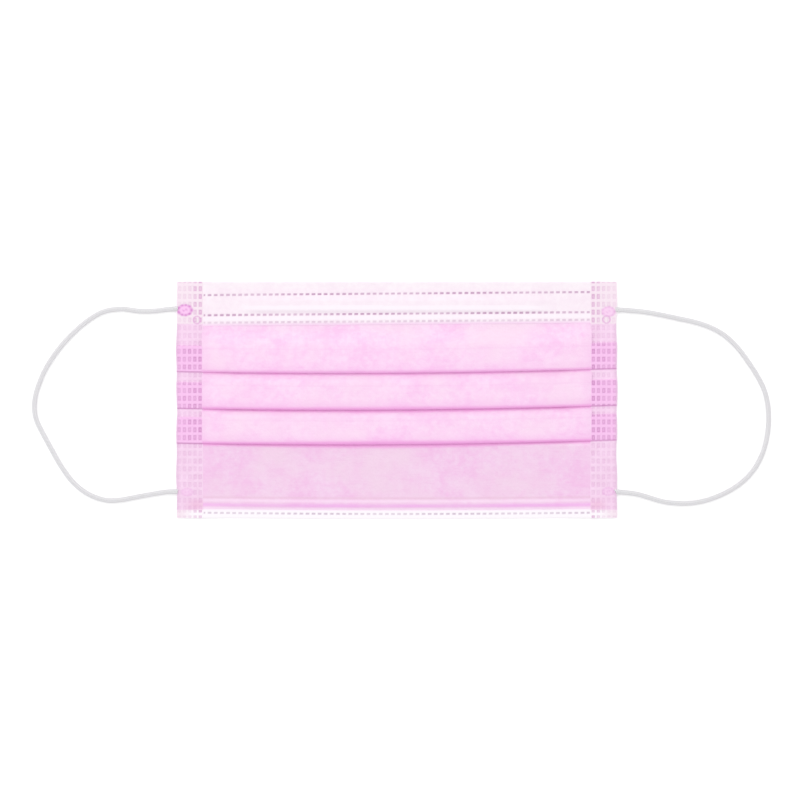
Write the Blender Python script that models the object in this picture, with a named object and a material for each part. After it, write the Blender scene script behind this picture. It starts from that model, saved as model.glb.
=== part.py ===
"""A flat-folded disposable face mask of three nonwoven plies, with three knife pleats, a nose wire
and two round elastic ear loops.

It lies on its inner side: X runs along its width, +Y towards the nose edge, +Z out of its front.
The origin is under the middle of the cloth, on the surface that it lies on. Lengths are in metres.
"""

import math

import bmesh
import bpy
import numpy as np

MM = 0.001

# Cloth.
WIDTH = 175.0 * MM
HEIGHT = 94.5 * MM
SEAM_WIDTH = 10.5 * MM
PLY = 0.2 * MM
PLY_GAP = 0.2 * MM
LAYER_GAP = 0.3 * MM
PIECE_GAP = 0.3 * MM

# Pleats: how far each visible crease lies below the nose edge, and how far the cloth doubles back.
CREASE_DROPS = (36.0 * MM, 50.6 * MM, 64.4 * MM)
PLEAT_DEPTH = 10.0 * MM
CREASE_LEAD = 0.3 * MM

# The inner ply is wrapped over both long edges and welded down on the front.
NOSE_HEM = 17.0 * MM
CHIN_HEM = 4.0 * MM

# Nose wire: two steel cores in a flat plastic strip, in a channel of the nose hem.
WIRE_DROP = 9.5 * MM
WIRE_LENGTH = 105.0 * MM
STRIP_WIDTH = 3.0 * MM
STRIP_THICKNESS = 1.0 * MM
CORE_DIAMETER = 0.5 * MM
CORE_SPACING = 1.3 * MM
CORE_CLEARANCE = 0.1 * MM
CHANNEL_SLOPE = 1.6 * MM

# Welded side seams, thin over one layer of cloth and thicker over a pleat's three.
SEAM_SINGLE = 0.45 * MM
SEAM_TRIPLE = 1.2 * MM
SEAM_RAMP = 0.8 * MM

# Ear loops and their flattened ends, welded under the seams.
CORD_DIAMETER = 2.0 * MM
CORD_LIFT = 0.02 * MM
CORD_POINT_SPACING = 4.6 * MM
LOOP_Y = 36.2 * MM
WELD_THICKNESS = 0.6 * MM
WELD_LENGTH = 5.9 * MM
WELD_WIDTH = 4.4 * MM
WELD_INSET = 3.6 * MM
WELD_NECK = 3.0 * MM
HINGE_OUT = 1.0 * MM
HINGE_Z = 2.3 * MM

# The loops' routes on the surface, from their upper ends to their lower ones.
LEFT_ROUTE = (
    (-87.8, 36.5), (-91.5, 36.2), (-97.0, 35.6), (-103.0, 35.6), (-109.1, 36.4), (-115.7, 35.6),
    (-120.9, 33.1), (-126.2, 29.1), (-131.5, 23.9), (-135.8, 18.6), (-139.4, 13.0), (-142.1, 7.0),
    (-143.7, 1.6), (-144.1, -3.3), (-143.2, -8.0), (-140.8, -12.9), (-137.5, -19.0), (-134.0, -25.2),
    (-129.8, -31.2), (-125.4, -35.4), (-120.3, -38.3), (-115.0, -39.7), (-109.7, -39.5),
    (-103.8, -38.4), (-97.2, -37.2), (-92.0, -36.4), (-87.8, -36.2),
)
RIGHT_ROUTE = (
    (87.8, 36.1), (92.8, 35.8), (99.4, 35.1), (106.0, 33.9), (112.6, 32.5), (119.2, 31.0),
    (125.2, 28.9), (130.5, 25.8), (135.1, 21.5), (139.2, 16.2), (142.9, 10.6), (145.9, 4.8),
    (147.5, -1.2), (147.9, -7.6), (147.3, -14.1), (145.6, -20.6), (142.6, -26.6), (138.2, -31.7),
    (132.4, -35.8), (125.8, -38.8), (119.2, -40.5), (112.6, -40.9), (106.0, -40.2),
    (100.4, -38.6), (95.0, -37.1), (87.8, -36.3),
)

# Places that follow from the sizes above.
PLY_PITCH = PLY + PLY_GAP
LAYER = 3 * PLY + 2 * PLY_GAP
LEVELS = tuple(LAYER / 2 + i * (LAYER + LAYER_GAP) for i in range(3))
NOSE_Y = HEIGHT / 2
CHIN_Y = -HEIGHT / 2
CREASES = tuple(NOSE_Y - drop for drop in CREASE_DROPS)
HALF_CLOTH = WIDTH / 2 - SEAM_WIDTH - PIECE_GAP
HEM_Z = LAYER + PLY_GAP + PLY / 2
HEM_RADIUS = (HEM_Z - PLY / 2) / 2
STRIP_Z = LAYER + PLY_GAP + STRIP_THICKNESS / 2
CHANNEL_Z = STRIP_Z + STRIP_THICKNESS / 2 + PLY_GAP + PLY / 2
SEAM_UNDERSIDE = WELD_THICKNESS + PIECE_GAP
CORD_Z = CORD_DIAMETER / 2 + CORD_LIFT

PINK = (0.93, 0.62, 0.84, 1.0)
WHITE = (0.95, 0.93, 0.95, 1.0)
FILTER_WHITE = (0.93, 0.94, 0.95, 1.0)
WELDED_PINK = (0.88, 0.50, 0.76, 1.0)
CORD_WHITE = (0.86, 0.87, 0.88, 1.0)
STRIP_WHITE = (0.90, 0.90, 0.90, 1.0)
STEEL = (0.55, 0.56, 0.58, 1.0)


def material(name, color, roughness, metallic=0.0):
    made = bpy.data.materials.new(name)
    made.use_nodes = True
    shader = made.node_tree.nodes["Principled BSDF"]
    shader.inputs["Base Color"].default_value = color
    shader.inputs["Roughness"].default_value = roughness
    shader.inputs["Metallic"].default_value = metallic
    return made


def add(name, data, color, roughness, metallic=0.0):
    """An object of this mesh or curve, with its own material."""
    data.materials.append(material(name + "_finish", color, roughness, metallic))
    made = bpy.data.objects.new(name, data)
    bpy.context.scene.collection.objects.link(made)
    return made


def arc(centre, radius, start, end, steps=8):
    """Points on an arc in the Y-Z plane, from one angle in degrees to another."""
    angles = np.radians(np.linspace(start, end, steps + 1))
    return [(centre[0] + radius * math.cos(a), centre[1] + radius * math.sin(a)) for a in angles]


def rise(start, run, lift, steps=5):
    """A smooth S towards -Y: two arcs that meet halfway, with an upright stretch if the run is short."""
    y, z = start
    side = 1 if lift > 0 else -1
    height = abs(lift)
    radius = run / 2 if run < height else (run * run + height * height) / (4 * height)
    turn = math.degrees(math.asin(min(1.0, run / 2 / radius)))
    first = arc((y, z + side * radius), radius, -90 * side, (-90 - turn) * side, steps)
    last = arc((y - run, z + lift - side * radius), radius, (90 - turn) * side, 90 * side, steps)
    return first + last


def normals(path):
    """The unit normal at each point of a path, on the left of its direction."""
    ahead = np.gradient(path, axis=0)
    ahead /= np.linalg.norm(ahead, axis=1)[:, None]
    return np.stack([-ahead[:, 1], ahead[:, 0]], axis=1)


def offset(path, distance):
    path = without_repeats(path)
    return path + normals(path) * distance


def without_repeats(path):
    path = np.array(path, float)
    apart = np.linalg.norm(np.diff(path, axis=0), axis=1) > 1e-7
    return path[np.concatenate([[True], apart])]


def extruded(name, left, right, x0, x1, color, roughness):
    """A closed band between two lines of Y-Z points that run side by side, from x0 to x1."""
    mesh = bmesh.new()
    rows = [
        [mesh.verts.new((x, y, z)) for y, z in line]
        for x, line in ((x0, left), (x1, left), (x1, right), (x0, right))
    ]
    for one, other in zip(rows, rows[1:] + rows[:1]):
        for i in range(len(left) - 1):
            mesh.faces.new((one[i], one[i + 1], other[i + 1], other[i]))
    mesh.faces.new([row[0] for row in rows])
    mesh.faces.new([row[-1] for row in rows])
    bmesh.ops.recalc_face_normals(mesh, faces=mesh.faces)
    data = bpy.data.meshes.new(name)
    mesh.to_mesh(data)
    mesh.free()
    data.shade_smooth()
    data.set_sharp_from_angle(angle=math.radians(40))
    return add(name, data, color, roughness)


def ply(name, path, color):
    """One ply: a band of the ply's thickness along a path, between the two side seams."""
    path = without_repeats(path)
    edge = normals(path) * PLY / 2
    return extruded(name, path + edge, path - edge, -HALF_CLOTH, HALF_CLOTH, color, 0.9)


def climb(crease, next_crease):
    """The stretch below one crease where the cloth climbs over the next pleat, as (start, run)."""
    start = crease - CREASE_LEAD
    return start, start - (next_crease + PLEAT_DEPTH + LAYER_GAP)


def upper_web():
    """The middle line of the cloth from the nose edge down to the first visible crease."""
    run = climb(CREASES[0], CREASES[1])[1]
    foot = CREASES[0] + PLEAT_DEPTH + LAYER_GAP + run
    return (
        [(NOSE_Y - HEM_RADIUS - PLY / 2, LEVELS[0]), (foot + LAYER, LEVELS[0])]
        + rise((foot, LEVELS[0]), run, LEVELS[2] - LEVELS[0])
        + [(CREASES[0], LEVELS[2])]
    )


def pleat_web(i):
    """The middle line from behind visible crease i, round the hidden crease, and down the next panel."""
    radius = (LEVELS[1] - LEVELS[0]) / 2
    turn_y = CREASES[i] + PLEAT_DEPTH - LAYER / 2 - radius
    web = [(CREASES[i], LEVELS[1])] + arc((turn_y, LEVELS[0] + radius), radius, 90, -90)
    if i == len(CREASES) - 1:
        return web + [(CHIN_Y + HEM_RADIUS + PLY / 2, LEVELS[0])]
    start, run = climb(CREASES[i], CREASES[i + 1])
    return (
        web
        + rise((start, LEVELS[0]), run, LEVELS[2] - LEVELS[0])
        + [(CREASES[i + 1], LEVELS[2])]
    )


def nose_hem():
    """The wrapped part of the inner ply from its cut edge on the front, over the nose wire, to the edge."""
    wire_y = NOSE_Y - WIRE_DROP
    half = STRIP_WIDTH / 2 + PIECE_GAP
    lift = CHANNEL_Z - HEM_Z
    over = rise((wire_y + half + CHANNEL_SLOPE, HEM_Z), CHANNEL_SLOPE, lift)
    down = rise((wire_y - half, CHANNEL_Z), CHANNEL_SLOPE, -lift)
    front = [(NOSE_Y - HEM_RADIUS - PLY / 2 - PLY, HEM_Z)] + over + down + [(NOSE_Y - NOSE_HEM, HEM_Z)]
    centre = (NOSE_Y - HEM_RADIUS - PLY / 2, HEM_Z - HEM_RADIUS)
    return front[::-1] + arc(centre, HEM_RADIUS, 90, -90)


def chin_hem():
    """The wrapped part of the inner ply from the chin edge up to its cut edge on the front."""
    centre = (CHIN_Y + HEM_RADIUS + PLY / 2, HEM_Z - HEM_RADIUS)
    return arc(centre, HEM_RADIUS, 270, 90) + [(CHIN_Y + CHIN_HEM, HEM_Z)]


def cloth():
    """Each panel's three plies. The upper panel is fixed, and the others slide down as the pleats open."""
    upper = upper_web()
    ply("outer_ply_upper_panel", offset(upper, -PLY_PITCH), PINK)
    ply("filter_ply_upper_panel", upper, FILTER_WHITE)
    ply("inner_ply_upper_panel", nose_hem() + list(offset(upper, PLY_PITCH)), WHITE)
    for i, panel in enumerate(("second_panel", "third_panel", "lower_panel")):
        web = pleat_web(i)
        inner = list(offset(web, PLY_PITCH))
        if panel == "lower_panel":
            inner += chin_hem()
        ply("outer_ply_" + panel, offset(web, -PLY_PITCH), PINK)
        ply("filter_ply_" + panel, web, FILTER_WHITE)
        ply("inner_ply_" + panel, inner, WHITE)


def side_seam(name, side):
    """All the plies of one edge welded into one strip, thicker where a pleat's three layers meet."""
    low, high = SEAM_UNDERSIDE + SEAM_SINGLE, SEAM_UNDERSIDE + SEAM_TRIPLE
    top = [(NOSE_Y, low)]
    for crease in CREASES:
        top.append((crease + PLEAT_DEPTH + SEAM_RAMP, low))
        top.append((crease + PLEAT_DEPTH, high))
        top.append((crease, high))
        top.append((crease - SEAM_RAMP, low))
    top.append((CHIN_Y, low))
    under = [(y, SEAM_UNDERSIDE) for y, _ in top]
    inside, outside = WIDTH / 2 - SEAM_WIDTH, WIDTH / 2
    x0, x1 = sorted((side * inside, side * outside))
    extruded(name, top, under, x0, x1, WELDED_PINK, 0.6)


def loop_weld(name, side, y):
    """A cord's flattened end: a tongue from the cloth's edge to a round inner end, under the seam."""
    edge = side * WIDTH / 2
    middle = edge - side * WELD_INSET
    angles = np.linspace(-math.pi / 2, math.pi / 2, 17)
    outline = [
        (middle - side * WELD_LENGTH / 2 * math.cos(a), y + WELD_WIDTH / 2 * math.sin(a)) for a in angles
    ]
    outline += [(edge, y + WELD_NECK / 2), (edge, y - WELD_NECK / 2)]
    mesh = bmesh.new()
    base = mesh.faces.new([mesh.verts.new((px, py, 0.0)) for px, py in outline])
    grown = bmesh.ops.extrude_face_region(mesh, geom=[base])
    raised = [v for v in grown["geom"] if isinstance(v, bmesh.types.BMVert)]
    bmesh.ops.translate(mesh, verts=raised, vec=(0.0, 0.0, WELD_THICKNESS))
    bmesh.ops.recalc_face_normals(mesh, faces=mesh.faces)
    data = bpy.data.meshes.new(name)
    mesh.to_mesh(data)
    mesh.free()
    add(name, data, CORD_WHITE, 0.5)


def smooth_route(route, spacing):
    """Points at an even spacing on the Catmull-Rom curve through the route's own points."""
    own = np.array(route, float) * MM
    padded = np.concatenate([[2 * own[0] - own[1]], own, [2 * own[-1] - own[-2]]])
    t = np.linspace(0, 1, 12, endpoint=False)[:, None]
    dense = []
    for p0, p1, p2, p3 in zip(padded, padded[1:], padded[2:], padded[3:]):
        bend = 2 * p0 - 5 * p1 + 4 * p2 - p3
        twist = 3 * (p1 - p2) + p3 - p0
        dense.append(0.5 * (2 * p1 + (p2 - p0) * t + bend * t**2 + twist * t**3))
    dense = np.concatenate(dense + [own[-1:]])
    along = np.concatenate([[0], np.cumsum(np.linalg.norm(np.diff(dense, axis=0), axis=1))])
    count = round(along[-1] / spacing) + 1
    even = np.linspace(0, along[-1], count)
    return [(np.interp(s, along, dense[:, 0]), np.interp(s, along, dense[:, 1])) for s in even]


def ear_loop(name, side, route):
    """A round elastic cord on its route. Its origin is on the line that the loop turns about."""
    points = smooth_route(route, CORD_POINT_SPACING)
    hinge_x = side * (WIDTH / 2 + HINGE_OUT)
    data = bpy.data.curves.new(name, "CURVE")
    data.dimensions = "3D"
    data.bevel_depth = CORD_DIAMETER / 2
    data.bevel_resolution = 2
    data.use_fill_caps = True
    spline = data.splines.new("POLY")
    spline.points.add(len(points) - 1)
    for place, (x, y) in zip(spline.points, points):
        place.co = (x - hinge_x, y, CORD_Z - HINGE_Z, 1.0)
    made = add(name, data, CORD_WHITE, 0.8)
    made.location = (hinge_x, 0.0, HINGE_Z)


def rod(name, length, diameter, y, z, sides=16):
    """A round bar along X, centred on the mask's middle."""
    mesh = bmesh.new()
    bmesh.ops.create_cone(
        mesh, cap_ends=True, segments=sides, radius1=diameter / 2, radius2=diameter / 2, depth=length
    )
    data = bpy.data.meshes.new(name)
    mesh.to_mesh(data)
    mesh.free()
    data.shade_smooth()
    data.set_sharp_from_angle(angle=math.radians(40))
    made = add(name, data, STEEL, 0.35, 1.0)
    made.rotation_euler = (0.0, math.pi / 2, 0.0)
    made.location = (0.0, y, z)
    return made


def nose_wire():
    """A flat plastic strip with two bores, and the steel core in each."""
    y = NOSE_Y - WIRE_DROP
    bore = CORE_DIAMETER + 2 * CORE_CLEARANCE
    mesh = bmesh.new()
    bmesh.ops.create_cube(mesh, size=1.0)
    bmesh.ops.scale(mesh, verts=mesh.verts, vec=(WIRE_LENGTH, STRIP_WIDTH, STRIP_THICKNESS))
    bmesh.ops.translate(mesh, verts=mesh.verts, vec=(0.0, y, STRIP_Z))
    lengthwise = [e for e in mesh.edges if abs(e.verts[0].co.x - e.verts[1].co.x) > WIRE_LENGTH / 2]
    bmesh.ops.bevel(mesh, geom=lengthwise, offset=STRIP_THICKNESS * 0.3, segments=2, profile=0.5, affect="EDGES")
    data = bpy.data.meshes.new("nose_wire_sheath")
    mesh.to_mesh(data)
    mesh.free()
    sheath = add("nose_wire_sheath", data, STRIP_WHITE, 0.5)
    for name, side in (("nose_wire_upper_core", 1), ("nose_wire_lower_core", -1)):
        core_y = y + side * CORE_SPACING / 2
        rod(name, WIRE_LENGTH, CORE_DIAMETER, core_y, STRIP_Z)
        cutter = rod(name + "_bore", WIRE_LENGTH * 1.1, bore, core_y, STRIP_Z)
        cutter.hide_render = True
        cutter.display_type = "WIRE"
        cut = sheath.modifiers.new(name + "_bore", "BOOLEAN")
        cut.operation = "DIFFERENCE"
        cut.object = cutter


def main():
    for old in list(bpy.data.objects):
        bpy.data.objects.remove(old)
    cloth()
    nose_wire()
    for side_name, side, route in (("left", -1, LEFT_ROUTE), ("right", 1, RIGHT_ROUTE)):
        side_seam(side_name + "_side_seam", side)
        loop_weld(side_name + "_upper_loop_weld", side, LOOP_Y)
        loop_weld(side_name + "_lower_loop_weld", side, -LOOP_Y)
        ear_loop(side_name + "_ear_loop", side, route)


main()
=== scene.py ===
import math

import bpy
import numpy as np
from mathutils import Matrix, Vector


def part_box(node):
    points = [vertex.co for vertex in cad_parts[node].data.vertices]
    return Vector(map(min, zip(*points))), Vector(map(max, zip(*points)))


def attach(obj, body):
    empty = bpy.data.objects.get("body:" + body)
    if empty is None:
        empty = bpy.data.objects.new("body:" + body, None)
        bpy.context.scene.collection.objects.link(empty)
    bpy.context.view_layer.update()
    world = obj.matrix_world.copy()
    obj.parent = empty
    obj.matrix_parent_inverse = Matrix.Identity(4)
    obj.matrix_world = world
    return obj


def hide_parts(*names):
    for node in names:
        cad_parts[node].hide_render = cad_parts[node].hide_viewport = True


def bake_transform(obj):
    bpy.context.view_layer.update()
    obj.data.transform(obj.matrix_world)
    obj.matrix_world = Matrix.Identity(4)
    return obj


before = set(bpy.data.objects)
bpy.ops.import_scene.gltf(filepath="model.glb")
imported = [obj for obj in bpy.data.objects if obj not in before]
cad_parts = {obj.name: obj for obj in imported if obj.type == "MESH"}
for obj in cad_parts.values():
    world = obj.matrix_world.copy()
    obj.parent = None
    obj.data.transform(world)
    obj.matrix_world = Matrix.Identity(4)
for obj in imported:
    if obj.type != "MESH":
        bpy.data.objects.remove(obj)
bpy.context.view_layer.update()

# ---------------------------------------------------------------------------------------------------
# Camera, floor and light.
# The mask is seen from straight above through a long lens, on a pale sweep of board, in the even
# light of a white tent with one large soft lamp up and to the left.

MM = 0.001
VIEW_WIDTH = 318.6 * MM
VIEW_CENTRE = (1.3 * MM, 0.2 * MM)
LENS = 85.0
SENSOR = 36.0
FLOOR_SIDE = 3.0
FLOOR_Z = -0.05 * MM
BOARD_GLOW = 0.2
TENT_LIGHT = 0.82
LAMP_SIZE = 0.7
LAMP_POWER = 4.0
LAMP_PLACE = (-0.2, 0.55, 1.1)
LAMP_TILT = (math.radians(-26.6), math.radians(-9.2), 0.0)

scene = bpy.context.scene
scene.view_settings.view_transform = "Standard"
scene.view_settings.look = "None"

camera = bpy.data.objects.new("camera", bpy.data.cameras.new("camera"))
scene.collection.objects.link(camera)
camera.data.lens = LENS
camera.data.sensor_width = SENSOR
camera.location = (*VIEW_CENTRE, VIEW_WIDTH * LENS / SENSOR)
camera.data.clip_start = 0.01
camera.data.clip_end = 10.0
scene.camera = camera

tent = bpy.data.worlds.new("tent")
scene.world = tent
tent.use_nodes = True
tent.node_tree.nodes["Background"].inputs["Color"].default_value = (1.0, 1.0, 1.0, 1.0)
tent.node_tree.nodes["Background"].inputs["Strength"].default_value = TENT_LIGHT

lamp = bpy.data.objects.new("soft_lamp", bpy.data.lights.new("soft_lamp", "AREA"))
scene.collection.objects.link(lamp)
lamp.data.shape = "SQUARE"
lamp.data.size = LAMP_SIZE
lamp.data.energy = LAMP_POWER
lamp.location = LAMP_PLACE
lamp.rotation_euler = LAMP_TILT


def principled(name, **values):
    """A new material and its Principled shader, with those of its sockets set."""
    made = bpy.data.materials.new(name)
    made.use_nodes = True
    shader = made.node_tree.nodes["Principled BSDF"]
    for socket, value in values.items():
        shader.inputs[socket.replace("_", " ")].default_value = value
    return made, shader


def mesh_object(name, verts, faces, material):
    """A mesh object at the origin, shaded smooth."""
    data = bpy.data.meshes.new(name)
    data.from_pydata(verts.tolist(), [], faces)
    data.materials.append(material)
    data.shade_smooth()
    made = bpy.data.objects.new(name, data)
    scene.collection.objects.link(made)
    return made


board, _ = principled(
    "white_board",
    Roughness=0.9,
    Base_Color=(0.93, 0.93, 0.93, 1.0),
    Emission_Color=(1.0, 1.0, 1.0, 1.0),
    Emission_Strength=BOARD_GLOW,
)
corners = np.array([(-1, -1, 0), (1, -1, 0), (1, 1, 0), (-1, 1, 0)]) * FLOOR_SIDE / 2
floor = mesh_object("floor", corners + (0, 0, FLOOR_Z), [(0, 1, 2, 3)], board)

# ---------------------------------------------------------------------------------------------------
# Ear loops.
# A round, knitted elastic cord of 2 mm on each side, in one piece from the upper corner to the lower
# one. Both ends are melted flat under the corners of the cloth, and the loop lies on the surface.

CORD_DIAMETER = 2.0 * MM
CORD_Z = 1.02 * MM
CORD_SIDES = 20
CORD_STEP = 0.2 * MM
CLOTH_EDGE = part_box("right_side_seam")[1].x
LOOP_ENDS_INSIDE = 0.5 * MM
RIB_PITCH = 0.62 * MM
RIB_DEPTH = 0.035 * MM
STRANDS = 8
STRAND_WHITE = (0.865, 0.855, 0.875, 1.0)
# Painted shade in the knit's valleys.
VALLEY_SHADE = (0.575, 0.565, 0.59, 1.0)
FUZZ_SCALE = 900.0
CORD_RELIEF = (0.5, 0.08 * MM)

# The points that each loop passes, in mm, from the upper corner of the cloth to the lower one.
LEFT_ROUTE = (
    (-87.8, 36.5), (-91.5, 36.2), (-97.0, 35.6), (-103.0, 35.6), (-109.1, 36.4), (-115.7, 35.6),
    (-120.9, 33.1), (-126.2, 29.1), (-131.5, 23.9), (-135.8, 18.6), (-139.4, 13.0), (-142.1, 7.0),
    (-143.7, 1.6), (-144.1, -3.3), (-143.2, -8.0), (-140.8, -12.9), (-137.5, -19.0), (-134.0, -25.2),
    (-129.8, -31.2), (-125.4, -35.4), (-120.3, -38.3), (-115.0, -39.7), (-109.7, -39.5),
    (-103.8, -38.4), (-97.2, -37.2), (-92.0, -36.4), (-87.8, -36.2),
)
RIGHT_ROUTE = (
    (87.8, 36.1), (92.8, 35.8), (99.4, 35.1), (106.0, 33.9), (112.6, 32.5), (119.2, 31.0),
    (125.2, 28.9), (130.5, 25.8), (135.1, 21.5), (139.2, 16.2), (142.9, 10.6), (145.9, 4.8),
    (147.5, -1.2), (147.9, -7.6), (147.3, -14.1), (145.6, -20.6), (142.6, -26.6), (138.2, -31.7),
    (132.4, -35.8), (125.8, -38.8), (119.2, -40.5), (112.6, -40.9), (106.0, -40.2),
    (100.4, -38.6), (95.0, -37.1), (87.8, -36.3),
)


def smooth_line(points, spacing):
    """Even steps along the Catmull-Rom curve through the points: each span is the cubic that leaves and
    meets its points in the direction of their neighbours' chord. Also returns the curve's length."""
    own = np.array(points, float)
    padded = np.concatenate([[2 * own[0] - own[1]], own, [2 * own[-1] - own[-2]]])
    p0, p1, p2, p3 = (padded[i : i + len(own) - 1][:, None, :] for i in range(4))
    t = np.linspace(0, 1, 24, endpoint=False)[None, :, None]
    bend, twist = 2 * p0 - 5 * p1 + 4 * p2 - p3, 3 * (p1 - p2) + p3 - p0
    dense = 0.5 * (2 * p1 + (p2 - p0) * t + bend * t**2 + twist * t**3)
    dense = np.concatenate([dense.reshape(-1, own.shape[1]), own[-1:]])
    along = np.concatenate([[0], np.cumsum(np.linalg.norm(np.diff(dense, axis=0), axis=1))])
    even = np.linspace(0, along[-1], round(along[-1] / spacing) + 1)
    return np.stack([np.interp(even, along, dense[:, k]) for k in range(own.shape[1])], axis=1), along[-1]


def quads(rows, cols, wrap=False):
    """The quads of a grid of rows by cols points, with its last column joined to its first if wrap."""
    i, j = np.meshgrid(np.arange(rows - 1), np.arange(cols if wrap else cols - 1), indexing="ij")
    here, right = i * cols + j, i * cols + (j + 1) % cols
    return np.stack([here, right, right + cols, here + cols], axis=-1).reshape(-1, 4)


def drawn_shut(rings, first, last):
    """The closed surface of rings of points, rows by columns, drawn to one point at each end."""
    rows, cols = rings.shape[:2]
    verts = np.concatenate([rings.reshape(-1, 3), [first, last]])
    here = np.arange(cols)
    after, end = (here + 1) % cols, (rows - 1) * cols
    start_cap = np.stack([after, here, np.full_like(here, rows * cols)], axis=1)
    end_cap = np.stack([end + here, end + after, np.full_like(here, rows * cols + 1)], axis=1)
    return verts, quads(rows, cols, wrap=True).tolist() + start_cap.tolist() + end_cap.tolist()


def give_uv(obj, uv):
    """Stores one (u, v) per vertex, in metres of cord or cloth, as the piece's own UV map."""
    layer = obj.data.uv_layers.new(name="own")
    loops = np.empty(len(obj.data.loops), np.int32)
    obj.data.loops.foreach_get("vertex_index", loops)
    layer.data.foreach_set("uv", np.asarray(uv, np.float32)[loops].ravel())


def add_node(tree, kind, inputs, **settings):
    """A new shader node of that kind with its settings. inputs gives its sockets, by name or by number,
    a value each or the output that feeds it, and leaves out those that stay as they are."""
    made = tree.nodes.new("ShaderNode" + kind)
    for setting, value in settings.items():
        setattr(made, setting, value)
    for key, value in inputs.items():
        if isinstance(value, bpy.types.NodeSocket):
            tree.links.new(value, made.inputs[key])
        else:
            made.inputs[key].default_value = value
    return made


def calc(tree, operation, *values, clamped=False):
    """What a math node makes of those values or outputs."""
    return add_node(tree, "Math", dict(enumerate(values)), operation=operation, use_clamp=clamped).outputs[0]


def mixed(tree, share, one, other):
    """One colour, and the other where share is 1. Each is a value or an output."""
    return add_node(tree, "Mix", {"Factor": share, "A": one, "B": other}, data_type="RGBA").outputs["Result"]


def colour_and_relief(tree, shader, colour, height, strength, depth):
    """Gives the shader its colour and a relief of that strength and depth."""
    tree.links.new(colour, shader.inputs["Base Color"])
    relief = add_node(tree, "Bump", {"Strength": strength, "Distance": depth, "Height": height})
    tree.links.new(relief.outputs["Normal"], shader.inputs["Normal"])


def braid_material():
    """Knitted elastic: white strands that cross, with painted shade in the valleys, greyer the lower the
    surface. A strand's height is the sine of its turns along the cord plus or minus its turns round it, and
    the higher of the two shows."""
    made, shader = principled("knitted_elastic", Roughness=0.78, Sheen_Weight=0.15)
    tree = made.node_tree
    uv = add_node(tree, "UVMap", {}, uv_map="own").outputs["UV"]
    split = add_node(tree, "SeparateXYZ", {"Vector": uv})
    strands = []
    for hand in (-1.0, 1.0):
        along = calc(tree, "MULTIPLY", split.outputs["X"], 2 * math.pi / RIB_PITCH)
        turns = calc(tree, "MULTIPLY_ADD", split.outputs["Y"], hand * STRANDS / CORD_DIAMETER, along)
        strands.append(calc(tree, "SINE", turns))
    fuzz = add_node(tree, "TexNoise", {"Vector": uv, "Scale": FUZZ_SCALE, "Detail": 4.0}).outputs["Fac"]
    height = calc(tree, "MULTIPLY_ADD", fuzz, 0.7, calc(tree, "MAXIMUM", *strands))
    shade_share = add_node(tree, "MapRange", {"Value": height, "From Min": -0.4, "From Max": 1.4})
    colour = mixed(tree, shade_share.outputs["Result"], VALLEY_SHADE, STRAND_WHITE)
    colour_and_relief(tree, shader, colour, height, *CORD_RELIEF)
    return made


elastic = braid_material()


def cord_tube(name, line):
    """A ring carried along a line that lies level: round the ring the radius swells and shrinks a little
    with the knit, r = R - d/2 + d/2 sin(along / pitch) cos(strands x angle). Each end is closed."""
    ahead = np.gradient(line, axis=0)
    ahead /= np.linalg.norm(ahead, axis=1)[:, None]
    up = np.array([0.0, 0.0, 1.0])
    side = np.cross(ahead, up)
    side /= np.linalg.norm(side, axis=1)[:, None]
    angle = np.linspace(0, 2 * math.pi, CORD_SIDES, endpoint=False)
    along = np.concatenate([[0], np.cumsum(np.linalg.norm(np.diff(line, axis=0), axis=1))])
    knit = np.sin(2 * math.pi * along / RIB_PITCH)[:, None] * np.cos(STRANDS * angle)[None, :]
    radius = CORD_DIAMETER / 2 - RIB_DEPTH * (0.5 - 0.5 * knit)
    rings = (
        line[:, None, :]
        + (radius * np.cos(angle))[:, :, None] * side[:, None, :]
        + (radius * np.sin(angle))[:, :, None] * up
    )
    made = mesh_object(name, *drawn_shut(rings, line[0], line[-1]), elastic)
    around = np.tile(angle * CORD_DIAMETER / 2, len(line))
    uv = np.stack([np.repeat(along, CORD_SIDES), around], axis=1)
    give_uv(made, np.concatenate([uv, [[0, 0], [along[-1], 0]]]))
    return made


for side_name, side, route in (("left", -1, LEFT_ROUTE), ("right", 1, RIGHT_ROUTE)):
    route = [(x * MM, y * MM, CORD_Z) for x, y in route]
    inner = side * (CLOTH_EDGE - LOOP_ENDS_INSIDE)
    route = [(inner, route[0][1], CORD_Z)] + route + [(inner, route[-1][1], CORD_Z)]
    line, cord_length = smooth_line(route, CORD_STEP)
    loop = cord_tube(side_name + "_elastic_loop", line)
    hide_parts(side_name + "_ear_loop")
    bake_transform(loop)

# ---------------------------------------------------------------------------------------------------
# Outer ply.
# Pale pink spunbond nonwoven in one sheet, folded with the two plies behind it into three knife
# pleats that open towards the chin. It runs up under the white nose hem and down into the chin hem.

PANELS = ("upper_panel", "second_panel", "third_panel", "lower_panel")
PLY = 0.2 * MM
PLY_PITCH = 0.4 * MM
LAYER = 1.0 * MM
LAYER_PITCH = 1.3 * MM
CLOTH_LOW, CLOTH_HIGH = (corner.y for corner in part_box("left_side_seam"))
SEAM_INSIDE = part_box("right_side_seam")[0].x
SEAM_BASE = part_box("right_side_seam")[0].z
UNDER_SEAM = 0.5 * MM
PLIES_END = 0.9 * MM
SHARP_EDGE = math.radians(50)

CREASES = tuple(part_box("outer_ply_" + panel)[0].y for panel in PANELS[:3])
CREASE_TILT = 0.007
CREASE_BOW = 0.15
CREASE_DROP = 0.3 * MM
CHIN_BOW = 0.09
PLEAT_DEPTH = 10.0 * MM
RISE_ABOVE_PLEAT = 0.5 * MM
RISE_BELOW_CREASE = 0.2 * MM
FIRST_RISE = 7.0 * MM
BELOW_LAST_CREASE = 4.0 * MM
ABOVE_CHIN = 9.0 * MM
RETURN_SHARE = 0.85

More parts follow.
